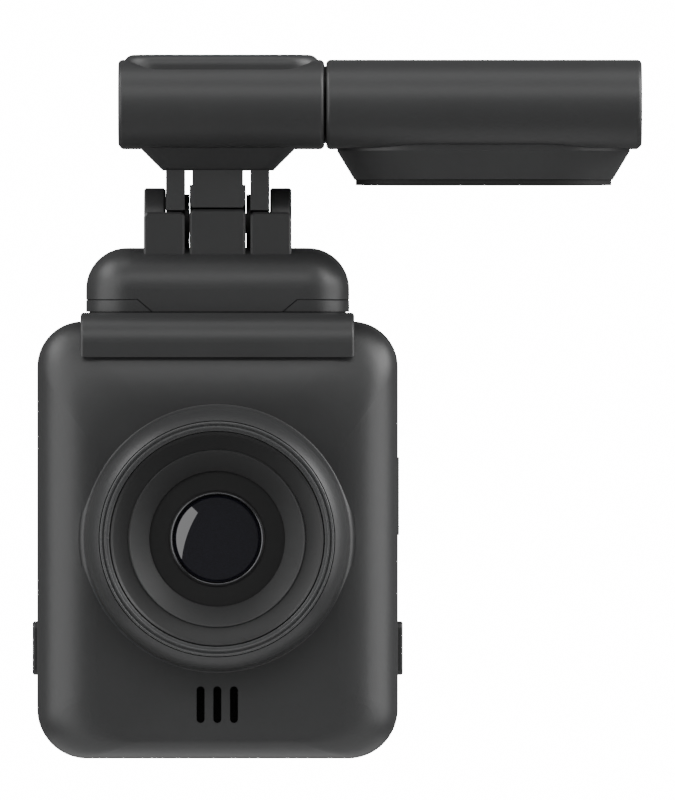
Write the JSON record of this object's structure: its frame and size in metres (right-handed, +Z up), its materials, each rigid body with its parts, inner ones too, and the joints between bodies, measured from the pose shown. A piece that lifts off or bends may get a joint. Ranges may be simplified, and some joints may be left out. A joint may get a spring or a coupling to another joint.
{
  "type": "dash camera",
  "caption": "Portrait dash camera with a wide round lens drum, on a magnetic tilting dock, swivel head and flat adhesive arm for a windscreen.",
  "frame": {"origin": "centre of the adhesive face under the mounting arm", "axes": "+Z up, away from the adhesive face; the lens looks along -Y; +X runs from the camera along the arm"},
  "size_m": [0.0916, 0.0427, 0.1057],
  "materials": {
    "housing": "fine satin texture",
    "key_plastic": "satin",
    "adhesive": "matte foam tape",
    "flap_rubber": "matte",
    "steel": "plain",
    "bearing_nylon": "satin",
    "magnet": "nickel plated",
    "contact_metal": "gold plated",
    "circuit_board": "solder mask",
    "antenna_ceramic": "fired ceramic",
    "lens_trim": "semi-gloss",
    "lens_cone": "satin",
    "lens_black": "black anodised",
    "lens_glass": "coated",
    "chip": "moulded",
    "display": "dark panel",
    "window": "smoked, polished",
    "battery_foil": "foil wrap",
    "speaker_body": "satin"
  },
  "bodies": {
    "arm": {"adhesive_pad": "adhesive", "pad_plate": "housing", "arm_shell": "housing", "arm_screws": "steel", "swivel_shaft": "steel", "swivel_washer": "steel", "swivel_nut": "steel"},
    "head": {"swivel_bush": "bearing_nylon", "head_shell": "housing", "head_top_cover": "housing", "hinge_washers": "bearing_nylon"},
    "dock": {"dock_upper_shell": "housing", "dock_base_plate": "housing", "dock_screws": "steel", "hinge_bolt": "steel", "hinge_nut": "steel", "dock_magnets": "magnet", "dock_board": "circuit_board", "dock_contact_pins": "contact_metal", "gps_antenna": "antenna_ceramic", "power_socket": "steel"},
    "camera": {"front_cover": "housing", "rear_cover": "housing", "camera_saddle": "housing", "housing_screws": "steel", "memory_card_socket": "steel", "camera_magnets": "magnet", "contact_pads": "contact_metal", "sensor_board": "circuit_board", "main_board": "circuit_board", "lens_bezel_ring": "lens_trim", "lens_trim_ring": "lens_trim", "lens_cone_ring": "lens_cone", "lens_retainer": "lens_black", "lens_barrel": "lens_black", "lens_holder": "lens_black", "front_glass": "lens_glass", "inner_lens": "lens_glass", "image_sensor": "chip", "processor": "chip", "microphone": "chip", "key_switches": "chip", "side_switches": "chip", "display_module": "display", "display_window": "window", "battery": "battery_foil", "speaker": "speaker_body"},
    "side_button_left": {"side_button_left": "key_plastic"},
    "side_button_right": {"side_button_right": "key_plastic"},
    "rear_key_1": {"rear_key_1": "key_plastic"},
    "rear_key_2": {"rear_key_2": "key_plastic"},
    "rear_key_3": {"rear_key_3": "key_plastic"},
    "rear_key_4": {"rear_key_4": "key_plastic"},
    "port_flap": {"port_flap": "flap_rubber"}
  },
  "joints": [
    {"name": "swivel", "type": "hinge", "parent": "arm", "child": "head", "pos_m": [-0.02385, 0, 0.01213], "axis": [1, 0, 0], "continuous": true},
    {"name": "tilt", "type": "hinge", "parent": "head", "child": "dock", "pos_m": [-0.04, 0, -0.0057], "axis": [1, 0, 0], "range_deg": [0, 50]},
    {"name": "dock_release", "type": "slide", "parent": "dock", "child": "camera", "axis": [0, 0, -1], "range_m": [0, 0.012]},
    {"name": "press_left", "type": "slide", "parent": "camera", "child": "side_button_left", "axis": [1, 0, 0], "range_m": [0, 0.0005], "stiffness_N_per_m": 1500, "springref_m": -0.0002},
    {"name": "press_right", "type": "slide", "parent": "camera", "child": "side_button_right", "axis": [-1, 0, 0], "range_m": [0, 0.0005], "stiffness_N_per_m": 1500, "springref_m": -0.0002},
    {"name": "press_key_1", "type": "slide", "parent": "camera", "child": "rear_key_1", "axis": [0, -1, 0], "range_m": [0, 0.0005], "stiffness_N_per_m": 1500, "springref_m": -0.0002},
    {"name": "press_key_2", "type": "slide", "parent": "camera", "child": "rear_key_2", "axis": [0, -1, 0], "range_m": [0, 0.0005], "stiffness_N_per_m": 1500, "springref_m": -0.0002},
    {"name": "press_key_3", "type": "slide", "parent": "camera", "child": "rear_key_3", "axis": [0, -1, 0], "range_m": [0, 0.0005], "stiffness_N_per_m": 1500, "springref_m": -0.0002},
    {"name": "press_key_4", "type": "slide", "parent": "camera", "child": "rear_key_4", "axis": [0, -1, 0], "range_m": [0, 0.0005], "stiffness_N_per_m": 1500, "springref_m": -0.0002},
    {"name": "flap_hinge", "type": "hinge", "parent": "camera", "child": "port_flap", "pos_m": [-0.0127, 0.0031, -0.0468], "axis": [0, 0, 1], "range_deg": [0, 110]}
  ]
}
